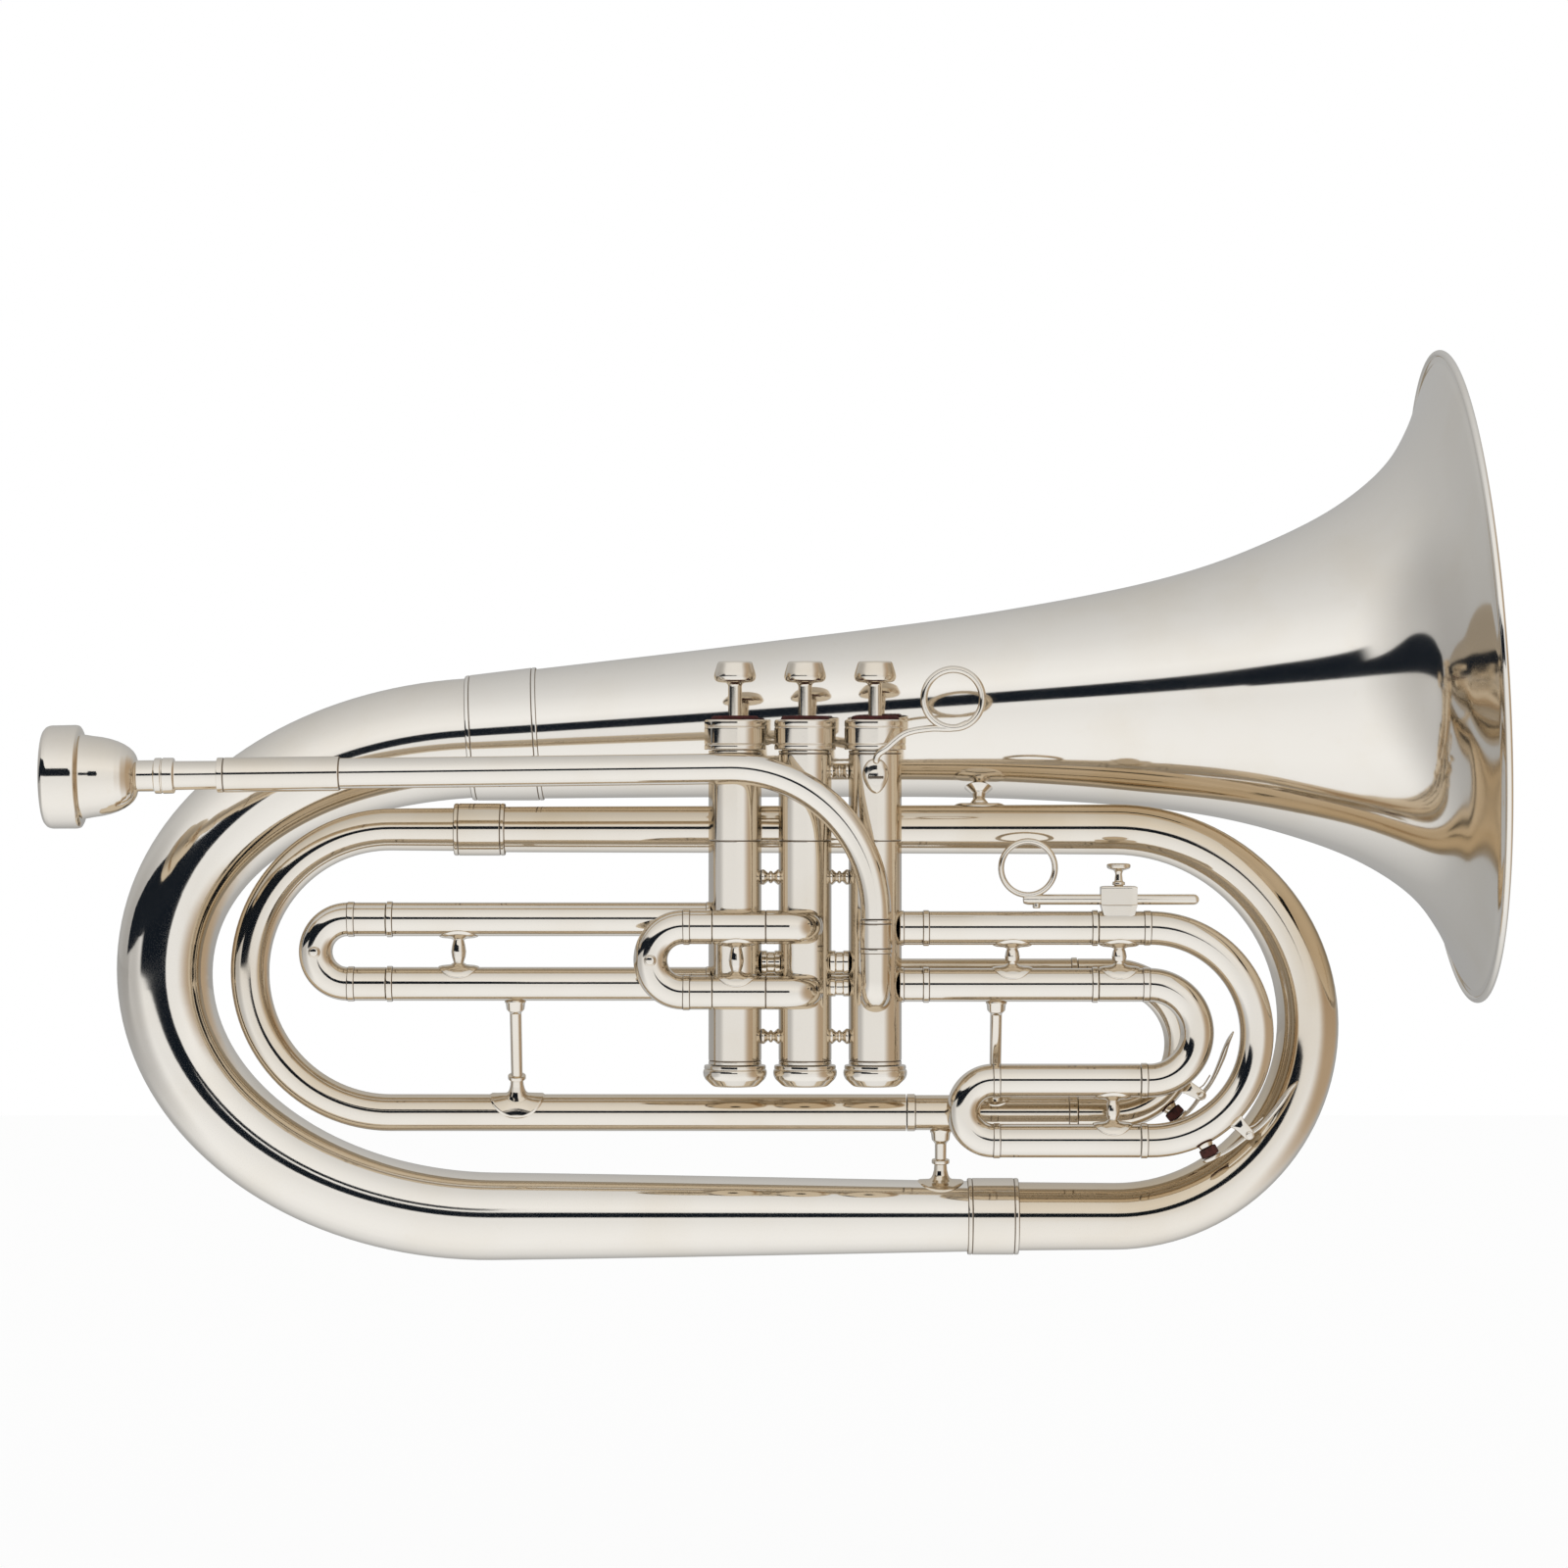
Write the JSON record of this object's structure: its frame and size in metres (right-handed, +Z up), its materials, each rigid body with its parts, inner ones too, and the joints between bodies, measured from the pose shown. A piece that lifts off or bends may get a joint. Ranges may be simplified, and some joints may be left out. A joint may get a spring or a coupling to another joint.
{
  "type": "marching euphonium",
  "caption": "Silver-plated marching euphonium with a forward bell, piston valves, pull slides, water keys and mouthpiece, each a separate part that moves as the real one does.",
  "frame": {"origin": "on the axis of the middle valve, at the middle height of the grip on the casings", "axes": "+X along the instrument toward the bell, +Y away from the side that faces the viewer, +Z up toward the finger buttons"},
  "size_m": [0.5806, 0.2685, 0.3712],
  "materials": {
    "silver_plate": "bright silver plate over brass, polished, with a warm cast",
    "valve_steel": "honed nickel alloy pistons and spring wire",
    "felt": "dense dark red felt",
    "cork": "dark natural cork"
  },
  "bodies": {
    "root": {"back_bow": "silver_plate", "bell_body": "silver_plate", "bell_ferrule": "silver_plate", "bell_flare": "silver_plate", "bell_post": "silver_plate", "bell_stem": "silver_plate", "bottom_ferrule": "silver_plate", "centre_post": "silver_plate", "first_slide_high_receiver": "silver_plate", "first_slide_low_receiver": "silver_plate", "front_bow": "silver_plate", "hook_ring": "silver_plate", "inner_bow": "silver_plate", "leadpipe": "silver_plate", "leadpipe_elbow": "silver_plate", "left_post": "silver_plate", "mouthpiece_receiver": "silver_plate", "right_post": "silver_plate", "second_slide_high_receiver": "silver_plate", "second_slide_low_receiver": "silver_plate", "third_slide_high_receiver": "silver_plate", "third_slide_low_receiver": "silver_plate", "top_ferrule": "silver_plate", "tuning_high_receiver": "silver_plate", "tuning_low_receiver": "silver_plate", "valve_one_bottom_cap": "silver_plate", "valve_one_casing": "silver_plate", "valve_one_felt": "felt", "valve_one_spring": "valve_steel", "valve_one_top_cap": "silver_plate", "valve_three_bottom_cap": "silver_plate", "valve_three_casing": "silver_plate", "valve_three_felt": "felt", "valve_three_spring": "valve_steel", "valve_three_top_cap": "silver_plate", "valve_two_bottom_cap": "silver_plate", "valve_two_casing": "silver_plate", "valve_two_felt": "felt", "valve_two_spring": "valve_steel", "valve_two_top_cap": "silver_plate"},
    "valve_one_action": {"valve_one_piston": "valve_steel", "valve_one_finger_button": "silver_plate"},
    "valve_two_action": {"valve_two_piston": "valve_steel", "valve_two_finger_button": "silver_plate"},
    "valve_three_action": {"valve_three_piston": "valve_steel", "valve_three_finger_button": "silver_plate"},
    "first_slide_body": {"first_slide": "silver_plate"},
    "second_slide_body": {"second_slide": "silver_plate"},
    "third_slide_body": {"third_slide_outer_bow": "silver_plate", "third_slide_return_bow": "silver_plate", "third_slide_inner_bow": "silver_plate", "throw_block": "silver_plate"},
    "throw_ring_body": {"throw_ring_rod": "silver_plate"},
    "thumb_screw_body": {"throw_thumb_screw": "silver_plate"},
    "third_key_body": {"third_water_key": "silver_plate", "third_key_cork": "cork"},
    "tuning_slide_body": {"tuning_slide": "silver_plate"},
    "tuning_key_body": {"tuning_water_key": "silver_plate", "tuning_key_cork": "cork"},
    "mouthpiece_body": {"mouthpiece": "silver_plate"}
  },
  "joints": [
    {"name": "valve_one_press", "type": "slide", "parent": "root", "child": "valve_one_action", "axis": [0, 0, -1], "range_m": [0, 0.0132], "stiffness_N_per_m": 150, "springref_m": -0.02, "deforming": ["valve_one_spring"]},
    {"name": "valve_two_press", "type": "slide", "parent": "root", "child": "valve_two_action", "axis": [0, 0, -1], "range_m": [0, 0.0132], "stiffness_N_per_m": 150, "springref_m": -0.02, "deforming": ["valve_two_spring"]},
    {"name": "valve_three_press", "type": "slide", "parent": "root", "child": "valve_three_action", "axis": [0, 0, -1], "range_m": [0, 0.0132], "stiffness_N_per_m": 150, "springref_m": -0.02, "deforming": ["valve_three_spring"]},
    {"name": "first_slide_pull", "type": "slide", "parent": "root", "child": "first_slide_body", "axis": [-1, 0, 0], "range_m": [0, 0.09]},
    {"name": "second_slide_pull", "type": "slide", "parent": "root", "child": "second_slide_body", "axis": [-1, 0, 0], "range_m": [0, 0.018]},
    {"name": "third_slide_throw", "type": "slide", "parent": "root", "child": "third_slide_body", "axis": [1, 0, 0], "range_m": [0, 0.06]},
    {"name": "throw_ring_set", "type": "slide", "parent": "third_slide_body", "child": "throw_ring_body", "axis": [1, 0, 0], "range_m": [-0.02, 0.016]},
    {"name": "thumb_screw_turn", "type": "hinge", "parent": "third_slide_body", "child": "thumb_screw_body", "pos_m": [0.12575, 0, 0], "axis": [0, 0, 1], "continuous": true},
    {"name": "third_key_press", "type": "hinge", "parent": "third_slide_body", "child": "third_key_body", "pos_m": [0.1779, 0, -0.09293], "axis": [0, -1, 0], "range_deg": [0, 15], "stiffness_Nm_per_rad": 0.05, "springref_deg": -17.19},
    {"name": "tuning_slide_pull", "type": "slide", "parent": "root", "child": "tuning_slide_body", "axis": [1, 0, 0], "range_m": [0, 0.014]},
    {"name": "tuning_key_press", "type": "hinge", "parent": "tuning_slide_body", "child": "tuning_key_body", "pos_m": [0.16031, 0.018, -0.07838], "axis": [0, -1, 0], "range_deg": [0, 15], "stiffness_Nm_per_rad": 0.05, "springref_deg": -17.19},
    {"name": "mouthpiece_pull", "type": "slide", "parent": "root", "child": "mouthpiece_body", "axis": [-0.9999, 0, -0.0122], "range_m": [0, 0.03]}
  ]
}
